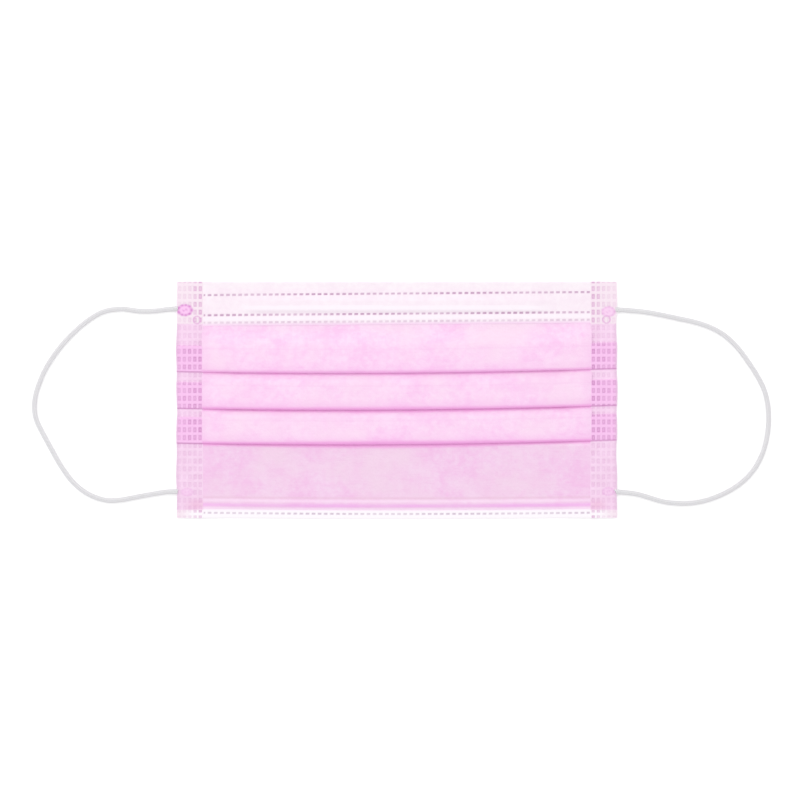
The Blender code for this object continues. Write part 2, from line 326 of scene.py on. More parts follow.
PLEATS_PRESSED = 0.62
SEAM_PRESSED = 0.31
PRESS_RUN = 13.0 * MM
NOSE_BAND = (27.0 * MM, 32.0 * MM)
WAVE_HEIGHT = 0.11 * MM
WAVE_LIFT = 2.4
ROLL_AT = 6.0 * MM
ROLL_HALF = 2.3 * MM
ROLL_HEIGHT = 0.8 * MM

# The crease line is painted shade: a dark pink band on each fold edge and, weaker, on the panel below it.
CREASE_SHADE_WIDTH = 0.9 * MM
CREASE_SHADE_SWELLS = (0.2, 0.4, 0.65)
CREASE_SHADE_SWELL_HALF = 45.0 * MM
CREASE_SHADE_DEPTHS = (0.7, 0.85, 1.0)
SHADE_UNDER_CREASE = 0.85
FOLD_RUN = 5.0 * MM
FOLD_DEPTHS = (0.7, 1.0, 1.0)
FOLD_END = 0.3
FOLD_END_AT = PLEAT_DEPTH - 0.6 * MM
FOLD_END_HALF = 0.5 * MM
UPPER_LAYERS = 0.55
LOWER_RUN = 1.5 * MM
SIDE_RUN = 4.0 * MM
# Painted shade on the lower side of the chin roll.
ROLL_SHADE_AT = 5.3 * MM
ROLL_SHADE_HALF = 1.25 * MM
VALLEY_AT = ROLL_AT + 2.3 * MM
VALLEY_HALF = 0.8 * MM
PALE_BELOW = 5.0 * MM
PALE_RUN = 1.2 * MM
# A painted highlight above the chin roll's crest.
ROLL_HIGHLIGHT_AT = 7.1 * MM
ROLL_HIGHLIGHT_HALF = 0.9 * MM
CLOUD_SIZE = 0.011
BOND_DEPTH = 0.5
BOND_PITCH = (2.1 * MM, 1.7 * MM)
THREAD_ANGLES = (12.0, 71.0, 128.0, 163.0)
THREAD_SCALE = (80.0, 1500.0, 1.0)
THREAD_SHARE = 0.14
THIN_SHARE = 0.85
CLOTH_RELIEF = 0.25 * MM


def ease(t):
    """3t^2 - 2t^3 of t held between 0 and 1."""
    t = np.clip(t, 0.0, 1.0)
    return t * t * (3 - 2 * t)


def hump(t):
    """cos^2 of t in quarter turns, 1 at t = 0 and 0 from t = 1 on."""
    return np.cos(np.clip(np.abs(t), 0, 1) * math.pi / 2) ** 2


def near_seam(x):
    """0 in the open cloth, eased up to 1 at a seam over the last stretch before it."""
    return ease(1 - (SEAM_INSIDE - np.abs(x)) / PRESS_RUN)


def press(x, y, z):
    """Heights in the loose stack as they are in the real one: pressed flatter below the nose band and
    flattest at the seams, where the stack also rises off the surface onto the ends of the ear loops."""
    in_band = ease((y - NOSE_BAND[0]) / (NOSE_BAND[1] - NOSE_BAND[0]))
    share = PLEATS_PRESSED + (1 - PLEATS_PRESSED) * in_band
    share = share + (SEAM_PRESSED - share) * near_seam(x)
    return SEAM_BASE * near_seam(x) + share * z


def crease_shift(x):
    """How far a pleat's lines wander up or down: a slight tilt and a bow, in metres."""
    return CREASE_TILT * x + CREASE_BOW * x * x - CREASE_DROP


def chin_shift(x):
    """The chin edge bows a little, by a share of x^2, in metres."""
    return CHIN_BOW * x * x


def cloth_wave(x, y):
    """Slow swells of the cloth off the surface: a sum of crossed sines of the millimetres across and up,
    which dies away at the seams, the nose band and the chin edge, where welds hold the cloth flat."""
    u, v = x / MM, y / MM
    swell = (
        np.sin(u / 13.0 + 0.9 * np.sin(v / 17.0))
        + 0.8 * np.sin(u / 7.3 - v / 9.0 + 1.3)
        + 0.6 * np.sin(u / 19.0 + v / 5.2 + 0.4)
    )
    room = hump(x / SEAM_INSIDE) ** 0.5 * ease((28.0 - v) / 8.0) * ease((v + 44.0) / 6.0)
    return WAVE_HEIGHT * (WAVE_LIFT + swell) * room


def roll(x, y):
    """The pink ply buckles up into one low roll just above the chin hem: 1 on its crest."""
    return hump((y - CLOTH_LOW - ROLL_AT - chin_shift(x)) / ROLL_HALF) * (1 - near_seam(x))


def straight(y0, y1, z, count):
    """A level stretch of a line from y0 to y1 at height z, as count rows of (y, z)."""
    t = np.linspace(0, 1, count)[:, None]
    return y0 + (y1 - y0) * t, z + 0 * t * (y1 - y0)


def climb(y0, y1, z0, z1, count):
    """A stretch from y0 to y1 whose height eases from z0 to z1."""
    t = np.linspace(0, 1, count)[:, None]
    return y0 + (y1 - y0) * t, z0 + (z1 - z0) * ease(t)


def turn(yc, zc, radius, start, end, count):
    """An arc about (yc, zc) from one angle to the other, in degrees from the +Y axis."""
    angle = np.radians(np.linspace(start, end, count))[:, None]
    return yc + radius * np.cos(angle), zc + radius * np.sin(angle)


def joined(parts, columns):
    """Stretches of a line, each (y, z) of rows by columns, as one y and one z, without their shared
    points. Also returns which of all the rows were kept."""
    keep = np.concatenate([np.arange(len(y)) > 0 for y, _ in parts])
    keep[0] = True
    y, z = (
        np.concatenate([np.broadcast_to(part[k], (len(part[k]), columns)) for part in parts])[keep]
        for k in (0, 1)
    )
    return y, z, keep


def web(x):
    """The middle line of the folded cloth at each x, from the nose edge to the chin edge: rows of points
    by columns of x. Each pleat runs over the crease below it, turns under, doubles back behind itself
    and turns down again. Also returns the panel that each row belongs to: the number grows by most of 1
    along a return and by the rest behind the next panel."""
    shift = crease_shift(x)[None, :]
    level = [LAYER / 2 + i * LAYER_PITCH for i in range(3)]
    fold = LAYER_PITCH / 2
    outside = fold + LAYER / 2
    parts, panel = [], []

    def add(stretch, start, end):
        parts.append(stretch)
        panel.append(np.linspace(start, end, len(stretch[0])))

    y = np.full_like(shift, CLOTH_HIGH - PLIES_END)
    for i, crease in enumerate(CREASES):
        visible = crease + shift
        rise_end = visible + PLEAT_DEPTH + RISE_ABOVE_PLEAT
        rise_start = CREASES[i - 1] + shift - RISE_BELOW_CREASE if i else rise_end + FIRST_RISE
        add(straight(y, rise_start, level[0], 10 if i else 24), i - 1 + RETURN_SHARE if i else 0, i)
        add(climb(rise_start, rise_end, level[0], level[2], 14), i, i)
        add(straight(rise_end, visible + outside, level[2], 18), i, i)
        add(turn(visible + outside, (level[1] + level[2]) / 2, fold, 90, 270, 13), i, i)
        y = visible + PLEAT_DEPTH - outside
        add(straight(visible + outside, y, level[1], 9), i, i + RETURN_SHARE)
        add(turn(y, (level[0] + level[1]) / 2, fold, 90, -90, 9), i + RETURN_SHARE, i + RETURN_SHARE)
    chin = CLOTH_LOW + PLIES_END + chin_shift(x)[None, :]
    add(straight(y, visible - BELOW_LAST_CREASE, level[0], 30), 2 + RETURN_SHARE, 3)
    add(straight(visible - BELOW_LAST_CREASE, chin + ABOVE_CHIN, level[0], 14), 3, 3)
    add(straight(chin + ABOVE_CHIN, chin, level[0], 26), 3, 3)
    y, z, keep = joined(parts, len(x))
    return y, z, np.concatenate(panel)[keep]


def offset(y, z, distance):
    """The line moved sideways, to its left, by distance, which may vary with x."""
    dy, dz = np.gradient(y, axis=0), np.gradient(z, axis=0)
    size = np.hypot(dy, dz)
    return y - dz / size * distance, z + dy / size * distance


def along_line(y, z):
    """How far each point is from its line's start, measured along the line."""
    step = np.hypot(np.diff(y, axis=0), np.diff(z, axis=0))
    return np.concatenate([np.zeros((1, y.shape[1])), np.cumsum(step, axis=0)])


def facing_out(verts, faces):
    """The faces, turned over if the closed surface's signed volume is negative."""
    a, b, c, d = (verts[faces[:, k]] for k in range(4))
    volume = (a * np.cross(b, c)).sum() + (a * np.cross(c, d)).sum()
    return faces[:, ::-1] if volume < 0 else faces


def closed_pair(name, one, other, uv, material, marks):
    """A closed solid between two grids of points, their four borders joined. uv and each of the marks,
    which become attributes, have one value per point of a grid, the same for both grids or one each."""
    rows, cols = one.shape[:2]
    n = rows * cols
    verts = np.concatenate([one.reshape(-1, 3), other.reshape(-1, 3)])
    grid = quads(rows, cols)
    border = np.concatenate([
        np.arange(cols - 1),
        np.arange(rows - 1) * cols + cols - 1,
        (rows - 1) * cols + np.arange(cols - 1, 0, -1),
        np.arange(rows - 1, 0, -1) * cols,
    ])
    rim = np.stack([border, border + n, np.roll(border, -1) + n, np.roll(border, -1)], axis=1)
    faces = facing_out(verts, np.concatenate([grid, grid[:, ::-1] + n, rim]))
    made = mesh_object(name, verts, faces.tolist(), material)
    made.data.set_sharp_from_angle(angle=SHARP_EDGE)
    give_uv(made, np.concatenate([uv.reshape(-1, 2)] * 2))
    for mark, values in marks.items():
        both = np.broadcast_to(values, (2, rows, cols)).astype(np.float32)
        made.data.attributes.new(mark, "FLOAT", "POINT").data.foreach_set("value", both.ravel())
    return made


def shell(name, x, y, z, material, thinned=1.0, **marks):
    """A ply: the surface with that line at each x, moved half a ply to each side and pressed."""
    px = np.broadcast_to(x[None, :], y.shape)
    sides = []
    for side in (-0.5, 0.5):
        py, pz = offset(y, z, side * PLY * thinned)
        sides.append(np.stack([px, py, press(px, py, pz) + cloth_wave(px, py)], axis=-1))
    uv = np.stack([px, along_line(y, z)], axis=-1)
    return closed_pair(name, *sides, uv, material, marks)


def open_with_pleats(piece):
    """Bakes the piece's placement into its points and reads the points into an array that is not used."""
    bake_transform(piece)
    co = np.empty(len(piece.data.vertices) * 3, np.float32)
    piece.data.vertices.foreach_get("co", co)


def spunbond_group():
    """Spunbond nonwoven, from a place on the cloth in metres. Cloud is its uneven density, two noises
    added, and Drift a slower noise of the same. Fibre is its fine threads, the highest of four noises
    stretched along their own directions. Height is all of its relief, less the bonds, the small pressed
    points where the product of two crossed cosines is high."""
    group = bpy.data.node_groups.new("spunbond", "ShaderNodeTree")
    face = group.interface
    face.new_socket("Place", in_out="INPUT", socket_type="NodeSocketVector")
    for name, value in (("Cloud size", CLOUD_SIZE), ("Bond depth", BOND_DEPTH)):
        face.new_socket(name, in_out="INPUT", socket_type="NodeSocketFloat").default_value = value
    for name in ("Cloud", "Drift", "Fibre", "Height"):
        face.new_socket(name, in_out="OUTPUT", socket_type="NodeSocketFloat")
    given = group.nodes.new("NodeGroupInput")
    result = group.nodes.new("NodeGroupOutput")

    def noise(place, scale, detail):
        inputs = {"Vector": place, "Scale": scale, "Detail": detail, "Roughness": 0.55}
        return add_node(group, "TexNoise", inputs).outputs["Fac"]

    def stretched(value, low, high, kind="LINEAR"):
        inputs = {"Value": value, "From Min": low, "From Max": high}
        return add_node(group, "MapRange", inputs, interpolation_type=kind).outputs["Result"]

    place = given.outputs["Place"]
    cloud_scale = calc(group, "DIVIDE", 1.0, given.outputs["Cloud size"])
    broad = calc(group, "MULTIPLY", noise(place, cloud_scale, 4.0), 0.55)
    clumps = noise(place, calc(group, "MULTIPLY", cloud_scale, 4.5), 3.0)
    cloud = stretched(calc(group, "MULTIPLY_ADD", clumps, 0.45, broad), 0.4, 0.6)
    elsewhere = add_node(group, "VectorMath", {0: place, 1: (0.31, 0.17, 0.05)}).outputs["Vector"]
    drift = noise(elsewhere, calc(group, "MULTIPLY", cloud_scale, 0.5), 3.0)

    threads = 0.0
    for angle in THREAD_ANGLES:
        laid = {"Vector": place, "Rotation": (0.0, 0.0, math.radians(angle)), "Scale": THREAD_SCALE}
        along_it = noise(add_node(group, "Mapping", laid).outputs["Vector"], 1.0, 2.0)
        off_middle = calc(group, "ABSOLUTE", calc(group, "SUBTRACT", along_it, 0.5))
        thread = calc(group, "SUBTRACT", 1.0, calc(group, "MULTIPLY", off_middle, 9.0))
        threads = calc(group, "MAXIMUM", threads, thread)

    split = add_node(group, "SeparateXYZ", {"Vector": place})
    u = calc(group, "MULTIPLY", split.outputs["X"], 2 * math.pi / BOND_PITCH[0])
    v = calc(group, "MULTIPLY", split.outputs["Y"], 2 * math.pi / BOND_PITCH[1])
    lattice = calc(group, "MULTIPLY", calc(group, "COSINE", u), calc(group, "COSINE", v))
    bond = stretched(lattice, 0.62, 0.88, "SMOOTHSTEP")
    pressed = calc(group, "MULTIPLY", bond, given.outputs["Bond depth"])
    height = calc(group, "SUBTRACT", calc(group, "MULTIPLY_ADD", threads, 0.45, cloud), pressed)
    outputs = {"Cloud": cloud, "Drift": stretched(drift, 0.42, 0.66), "Fibre": threads, "Height": height}
    for name, output in outputs.items():
        group.links.new(output, result.inputs[name])
    return group


spunbond = spunbond_group()


def linear(*srgb):
    """An sRGB colour of 0 to 255 as the shader's linear one."""
    return [((c / 255 + 0.055) / 1.055) ** 2.4 for c in srgb] + [1.0]


THREAD_WHITE = linear(254, 244, 252)


def cloth_material(
    name, light, deep, thin=None, tints=(), bump=0.35, cloud_size=CLOUD_SIZE, bond_depth=BOND_DEPTH
):
    """Nonwoven cloth: a light colour that deepens with the cloth's density and pales where it is thin,
    then one tint for each of the piece's own marks, with a threadlike relief."""
    made, shader = principled(name, Roughness=0.86, Sheen_Weight=0.1, Sheen_Roughness=0.5)
    tree = made.node_tree
    uv = add_node(tree, "UVMap", {}, uv_map="own").outputs["UV"]
    given = {"Place": uv, "Cloud size": cloud_size, "Bond depth": bond_depth}
    fibres = add_node(tree, "Group", given, node_tree=spunbond).outputs
    colour = mixed(tree, fibres["Cloud"], light, deep)
    if thin:
        share = calc(tree, "MULTIPLY", fibres["Drift"], THIN_SHARE, clamped=True)
        colour = mixed(tree, share, colour, thin)
    for mark, tint, strength in tints:
        read = add_node(tree, "Attribute", {}, attribute_name=mark).outputs["Fac"]
        share = calc(tree, "MULTIPLY", read, strength, clamped=True)
        colour = mixed(tree, share, colour, tint)
    share = calc(tree, "MULTIPLY", fibres["Fibre"], THREAD_SHARE, clamped=True)
    colour = mixed(tree, share, colour, THREAD_WHITE)
    colour_and_relief(tree, shader, colour, fibres["Height"], bump, CLOTH_RELIEF)
    return made


def crease_marks(y, z, x):
    """The outer ply's marks at its pleats. crease is painted shade: 1 on each crease's fold edge and
    weaker on the panel just below it, over a wider band in the mask's middle. fold fades out above it
    and shows the far end of the fold behind. layers is 1 where a fold lies behind."""
    crease, fold, layers = (np.zeros_like(y) for _ in range(3))
    swell = np.exp(-((x / CREASE_SHADE_SWELL_HALF) ** 2))
    in_front = np.where(z > LAYER * 1.5, 1.0, SHADE_UNDER_CREASE)
    for at, swells, depth, fold_depth in zip(CREASES, CREASE_SHADE_SWELLS, CREASE_SHADE_DEPTHS, FOLD_DEPTHS):
        above = y - (at + crease_shift(x))[None, :]
        shade_width = CREASE_SHADE_WIDTH * (1.0 + swells * swell)
        crease = np.maximum(crease, depth * (np.exp(-((above / shade_width) ** 4)) * in_front))
        fold = np.maximum(fold, fold_depth * hump(above / FOLD_RUN) * (above > 0))
        fold = np.maximum(fold, FOLD_END * hump((above - FOLD_END_AT) / FOLD_END_HALF))
        layers += ease(above / (0.5 * MM)) * ease((PLEAT_DEPTH + 1.0 * MM - above) / (1.2 * MM))
    return crease, fold, layers


across = np.concatenate([-np.linspace(1, 0, 70), np.linspace(0, 1, 70)[1:]]) * (SEAM_INSIDE + UNDER_SEAM)
web_y, web_z, web_panel = web(across)
panel_grid = np.broadcast_to(web_panel[:, None], web_y.shape)
outer_y, outer_z = offset(web_y, web_z, -PLY_PITCH)
# crease_shade_mark is the painted shade along the pleats' fold edges.
crease_shade_mark, fold_mark, layers_behind = crease_marks(outer_y, outer_z, across)
behind_pleats = (panel_grid > 0.5) & (panel_grid < 2.5)
three_layers = np.where(behind_pleats, 1, layers_behind + UPPER_LAYERS * (panel_grid < 0.5))
from_chin = outer_y - CLOTH_LOW - chin_shift(across)[None, :]
at_chin = panel_grid >= 3
# uneven varies the strength of the painted shade on the chin roll along its length.
uneven = 0.85 + 0.15 * np.sin(across / (8.0 * MM) + 2 * np.sin(across / (23.0 * MM)))
# roll_highlight: a painted highlight above the chin roll's crest.
roll_highlight = 0.7 * hump((from_chin - ROLL_HIGHLIGHT_AT) / ROLL_HIGHLIGHT_HALF)
outer_z = outer_z + ROLL_HEIGHT * roll(across[None, :], outer_y) * at_chin

outer_pink = cloth_material(
    "pink_spunbond",
    linear(255, 225, 250),
    linear(252, 198, 241),
    thin=linear(252, 227, 243),
    tints=(
        ("triple", linear(252, 200, 241), 0.35),
        ("lower", linear(226, 172, 213), 0.36),
        ("side", linear(246, 198, 236), 0.4),
        ("fold", linear(243, 166, 229), 0.38),
        ("valley", linear(232, 188, 214), 0.6),
        # roll: painted shade on the chin roll's lower side.
        ("roll", linear(244, 172, 238), 0.9),
        # pale: paler pink just above the chin hem, and a painted highlight above the chin roll's crest.
        ("pale", linear(253, 226, 249), 0.8),
        # crease: painted shade along each pleat's fold edge.
        ("crease", linear(242, 154, 224), 1.0),
    ),
)
outer_cloth = shell(
    "outer_ply_cloth",
    across,
    outer_y,
    outer_z,
    outer_pink,
    crease=crease_shade_mark,
    fold=fold_mark,
    triple=np.clip(three_layers, 0, 1),
    side=ease((np.abs(across) - SEAM_INSIDE + SIDE_RUN) / SIDE_RUN)[None, :],
    lower=ease((CREASES[2] - outer_y) / LOWER_RUN),
    roll=hump((from_chin - ROLL_SHADE_AT) / ROLL_SHADE_HALF) * at_chin * uneven,
    valley=hump((from_chin - VALLEY_AT) / VALLEY_HALF) * at_chin,
    pale=np.maximum(ease((PALE_BELOW - from_chin) / PALE_RUN), roll_highlight) * at_chin,
)
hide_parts(*("outer_ply_" + panel for panel in PANELS))
open_with_pleats(outer_cloth)

# ---------------------------------------------------------------------------------------------------
# Filter ply.
# A white meltblown sheet between the other two, folded with them and the same size as the outer one.

filter_white = cloth_material(
    "white_meltblown",
    linear(246, 244, 246),
    linear(238, 236, 239),
    bump=0.15,
    cloud_size=0.006,
    bond_depth=0.0,
)
filter_cloth = shell("filter_ply_cloth", across, web_y, web_z, filter_white)
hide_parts(*("filter_ply_" + panel for panel in PANELS))
open_with_pleats(filter_cloth)

# ---------------------------------------------------------------------------------------------------
# Inner ply, with the nose hem and the chin hem.
# White spunbond nonwoven, cut longer than the other two plies, so that its ends fold over both edges
# to the front. Rows of short ultrasonic dashes hold the hems down: two rows beside the nose wire and
# one near the cut edge above, one row below.

HEM_TURN = 0.7 * MM
HEM_RADIUS = 0.6 * MM
HEM_Z = 1.3 * MM
INNER_Z = 0.1 * MM
NOSE_CUT = CLOTH_HIGH - 17.0 * MM
CHIN_CUT = CLOTH_LOW + 4.0 * MM
CHIN_CUT_DROP = 0.4 * MM
HEM_TILT = 0.008
CUT_THINNED = 0.75
CUT_SUNK = 0.17 * MM
NOSE_CUT_RUN = 1.0 * MM
CHIN_CUT_RUN = 0.9 * MM
PUCKER = 0.05 * MM

WIRE_LOW, WIRE_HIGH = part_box("nose_wire_sheath")
WIRE_Y = (WIRE_LOW.y + WIRE_HIGH.y) / 2
WIRE_HALF_WIDTH = (WIRE_HIGH.y - WIRE_LOW.y) / 2
CHANNEL_RISE = 1.04 * MM
CHANNEL_SLOPES = (1.7 * MM, 3.2 * MM)
CHANNEL_ENDS = 14.0 * MM

DASH_PITCH = 2.43 * MM
DASH_LENGTH = 1.45 * MM
DASH_WIDTH = 0.85 * MM
DASH_DEPTH = 0.16 * MM
DASH_SOFT = 0.3 * MM
FIRST_DASH = -74.4 * MM
NOSE_ROWS = ((CLOTH_HIGH - 4.75 * MM, 1.0), (CLOTH_HIGH - 12.75 * MM, 1.0), (CLOTH_HIGH - 15.75 * MM, 0.5))
CHIN_ROWS = ((CLOTH_LOW + 2.1 * MM, 1.0),)


def hem_shift(x):
    """The rows of dashes on the nose hem run very slightly uphill to the right."""
    return HEM_TILT * x


def dashes(x, y, rows, shift):
    """1 on the pressed dashes of the rows, 0 between them. A dash is a short bar with soft ends, and
    its strength wanders slowly along the row."""
    from_middle = np.abs((x - FIRST_DASH + DASH_PITCH / 2) % DASH_PITCH - DASH_PITCH / 2)
    ends = ease((DASH_LENGTH / 2 + DASH_SOFT / 2 - from_middle) / DASH_SOFT)
    made = np.zeros(np.broadcast(x, y).shape)
    for at, strength in rows:
        band = ease((DASH_WIDTH / 2 + DASH_SOFT / 2 - np.abs(y - at - shift)) / DASH_SOFT)
        wander = 0.85 + 0.15 * np.sin(x / (9.0 * MM) + at / MM)
        made = np.maximum(made, band * ends * strength * wander)
    return made * ease((SEAM_INSIDE - np.abs(x)) / (0.5 * MM))


def hem_line(end, cut, steps):
    """A hem's line at each x: from the inner ply, round the edge at end and back to the cut edge. Also
    returns 1 for its front and 0 for the turn."""
    way = 1 if end[0, 0] > 0 else -1
    round_y, round_z = turn(0, INNER_Z + HEM_RADIUS, HEM_RADIUS, -90, 90, 15)
    middle = end - way * HEM_TURN
    y, z, _ = joined([(middle + way * round_y, round_z), straight(middle, cut, HEM_Z, steps)], end.shape[1])
    return y, z, (np.arange(len(y)) >= len(round_y) - 1)[:, None]


white_spunbond = cloth_material(
    "white_spunbond",
    linear(252, 243, 249),
    linear(248, 234, 244),
    tints=(
        # bright: whiter cloth, and on the nose wire's lower slope painted light that lifts its shade.
        ("bright", linear(255, 250, 255), 1.0),
        ("pink_behind", linear(252, 219, 246), 1.0),
        ("chin_dash", linear(204, 184, 204), 0.9),
        ("dash", linear(190, 142, 181), 1.0),
    ),
    bump=0.25,
)
inner_y, inner_z = offset(web_y, web_z, PLY_PITCH)
inner_y[0] = CLOTH_HIGH - HEM_TURN
inner_y[-1] = CLOTH_LOW + HEM_TURN + chin_shift(across)
inner_cloth = shell("inner_ply_cloth", across, inner_y, inner_z, white_spunbond)
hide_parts(*("inner_ply_" + panel for panel in PANELS))
open_with_pleats(inner_cloth)

fine = np.linspace(-1, 1, 521) * (SEAM_INSIDE + UNDER_SEAM)
fine_row = fine[None, :]
nose_cut = NOSE_CUT + hem_shift(fine_row)
nose_y, nose_z, on_front = hem_line(np.full_like(fine_row, CLOTH_HIGH), nose_cut, 66)
from_wire = nose_y - WIRE_Y
slope = np.where(from_wire < 0, *CHANNEL_SLOPES)
over_wire = ease((WIRE_HALF_WIDTH + slope - np.abs(from_wire)) / slope) * on_front
over_wire = over_wire * ease((WIRE_HIGH.x + CHANNEL_ENDS - np.abs(fine_row)) / CHANNEL_ENDS)
nose_dash = dashes(fine_row, nose_y, NOSE_ROWS, hem_shift(fine_row)) * on_front
at_cut = ease((nose_cut + NOSE_CUT_RUN - nose_y) / NOSE_CUT_RUN) * on_front
puckered = np.sin(fine_row / (3.1 * MM) + 2 * np.sin(fine_row / (11.0 * MM))) * on_front * (1 - at_cut)
nose_z = nose_z + CHANNEL_RISE * over_wire - DASH_DEPTH * nose_dash + PUCKER * puckered - CUT_SUNK * at_cut
lined = ease((CLOTH_HIGH - 2.2 * MM - nose_y) / (1.0 * MM))
fading = ease((nose_cut + 1.3 * MM - nose_y) / (1.2 * MM))
above_cut = nose_y - nose_cut
between_rows = ease((above_cut - 1.6 * MM) / (0.8 * MM)) * ease((4.2 * MM - above_cut) / (0.8 * MM))
nose_hem = shell(
    "nose_hem",
    fine,
    nose_y,
    nose_z,
    white_spunbond,
    thinned=1 - CUT_THINNED * at_cut,
    dash=nose_dash,
    pink_behind=np.clip(0.12 * lined + fading, 0, 1) * on_front,
    # bright: whiter between the upper rows, and painted light on the nose wire's lower slope.
    bright=on_front * np.maximum(0.6 * between_rows, 0.7 * over_wire * (from_wire < 0)),
)
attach(nose_hem, "mask_body")

chin_cut = CHIN_CUT - CHIN_CUT_DROP + chin_shift(fine_row)
chin_y, chin_z, on_front = hem_line(CLOTH_LOW + chin_shift(fine_row), chin_cut, 18)
chin_dash = dashes(fine_row, chin_y, CHIN_ROWS, chin_shift(fine_row)) * on_front
at_cut = ease((chin_y - chin_cut + CHIN_CUT_RUN) / CHIN_CUT_RUN) * on_front
chin_z = chin_z - DASH_DEPTH * chin_dash - CUT_SUNK * at_cut
chin_hem = shell(
    "chin_hem",
    fine,
    chin_y,
    chin_z,
    white_spunbond,
    thinned=1 - CUT_THINNED * at_cut,
    chin_dash=chin_dash,
    bright=np.ones_like(chin_y),
    pink_behind=0.35 * at_cut,
)
open_with_pleats(chin_hem)

# ---------------------------------------------------------------------------------------------------
# Side seams.
# All the plies fused into a stiff strip on each side by an ultrasonic roll, with five columns of
# small pressed blocks. The strip is three times as thick where a pleat lies in it. The ends of the
# ear loops show from beneath as pinched ovals, each upper one with a smaller round weld beside it.

SEAM_WIDTH = CLOTH_EDGE - SEAM_INSIDE
SINGLE = 0.45 * MM
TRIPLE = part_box("right_side_seam")[1].z - SEAM_BASE
HEM_EXTRA = 0.12 * MM
SEAM_RAMP = 0.8 * MM
SEAM_CREASE_SHADE_HALF = 0.32 * MM
WOBBLE_FROM = 7.0 * MM
COLUMNS = 5
BLOCK_FIRST = (1.1 * MM, 19.5 * MM)
BLOCK_PITCH = (2.07 * MM, 3.117 * MM)
BLOCK_HALF = (0.62 * MM, 0.98 * MM)
CHIN_BLOCK_FIRST = 1.0 * MM
CHIN_BLOCK_PITCH = 2.2 * MM
CHIN_BLOCK_HALF = 0.5 * MM
BLOCK_DEPTH = 0.22 * MM
BLOCK_SWELL = 0.1 * MM
BLOCK_UNDER = 0.08 * MM
RIM_DEPTH = 0.15 * MM
SPOT_RISE = 0.18 * MM

# The loop ends' ovals: centre, half-width and half-height in mm, how strongly each fills and outlines.
SPOTS = {
    "left": ((-84.2, 35.9, 3.05, 2.3, 0.9, 1.0), (-83.3, -36.4, 2.5, 1.65, 0.3, 0.25)),
    "right": ((84.1, 35.3, 2.85, 2.15, 0.6, 0.4), (84.1, -36.2, 2.5, 1.65, 0.3, 0.3)),
}
ROUND_WELDS = {"left": (-79.4, 32.0), "right": (83.4, 32.2)}
ROUND_RADIUS = 1.45 * MM
ROUND_LINE = 0.5 * MM
FOOT_AT = (2.5 * MM, 5.8 * MM)
FOOT_HALF = (3.5 * MM, 2.2 * MM)


def pleats_in_seam(x, y):
    """1 over the height of each pleat, which ends sharply at its crease and tapers off above. Also
    returns 1 on the creases themselves, which run on across the seam as thin lines of painted shade."""
    triple, crease_shade_line = np.zeros_like(y), np.zeros_like(y)
    for crease in CREASES:
        above = y - crease - crease_shift(x)
        triple += ease((above + 0.05 * MM) / (0.3 * MM)) * (1 - ease((above - PLEAT_DEPTH) / SEAM_RAMP))
        crease_shade_line = np.maximum(crease_shade_line, np.exp(-((above / SEAM_CREASE_SHADE_HALF) ** 4)))
    return triple, crease_shade_line


def welded_blocks(s, y, side):
    """1 round the inside of each pressed block, less in its middle, and 0 between the blocks. The rows
    are closer on the chin hem, each block's strength wanders, and the columns fade outwards."""
    on_chin = y < CHIN_CUT
    column = (s - BLOCK_FIRST[0]) / BLOCK_PITCH[0]
    chin_row = (y - CLOTH_LOW - CHIN_BLOCK_FIRST) / CHIN_BLOCK_PITCH
    row = np.where(on_chin, chin_row, (y - BLOCK_FIRST[1]) / BLOCK_PITCH[1])
    halves = np.where(on_chin, CHIN_BLOCK_PITCH / CHIN_BLOCK_HALF, BLOCK_PITCH[1] / BLOCK_HALF[1])
    its_column, its_row = np.round(column), np.round(row)
    across_it = np.abs(column - its_column) * BLOCK_PITCH[0] / BLOCK_HALF[0]
    from_centre = np.maximum(across_it, np.abs(row - its_row) * halves)
    block = ease((1.15 - from_centre) / 0.35) * (0.65 + 0.35 * ease((from_centre - 0.35) / 0.35))
    wander = 0.85 + 0.15 * np.sin(its_column * 4.7 + its_row * 2.9 + side)
    return block * wander * (1 - 0.09 * its_column) * (its_column < COLUMNS)


def loop_spots(x, y, side_name):
    """The welds of the loop's ends: spot is 1 inside their ovals, and rim is 1 on the ovals' notched
    outlines, with half as strong a line in the middle of each and on the round weld."""
    spot, rim = np.zeros_like(y), np.zeros_like(y)
    for cx, cy, half_x, half_y, fill, line in SPOTS[side_name]:
        from_spot = np.hypot((x - cx * MM) / (half_x * MM), (y - cy * MM) / (half_y * MM))
        angle = np.arctan2(y - cy * MM, x - cx * MM)
        notched = 0.75 + 0.25 * np.cos(9 * angle)
        spot = np.maximum(spot, fill * ease((1.05 - from_spot) / 0.3))
        rim = np.maximum(rim, line * notched * hump((from_spot - 0.88) / 0.34))
        rim = np.maximum(rim, 0.5 * line * hump((from_spot - 0.18) / 0.3) * (np.sin(angle * 2 + 0.6) > 0))
    cx, cy = ROUND_WELDS[side_name]
    from_round = np.hypot(x - cx * MM, y - cy * MM) - ROUND_RADIUS
    return spot, np.maximum(rim, 0.5 * hump(from_round / ROUND_LINE))


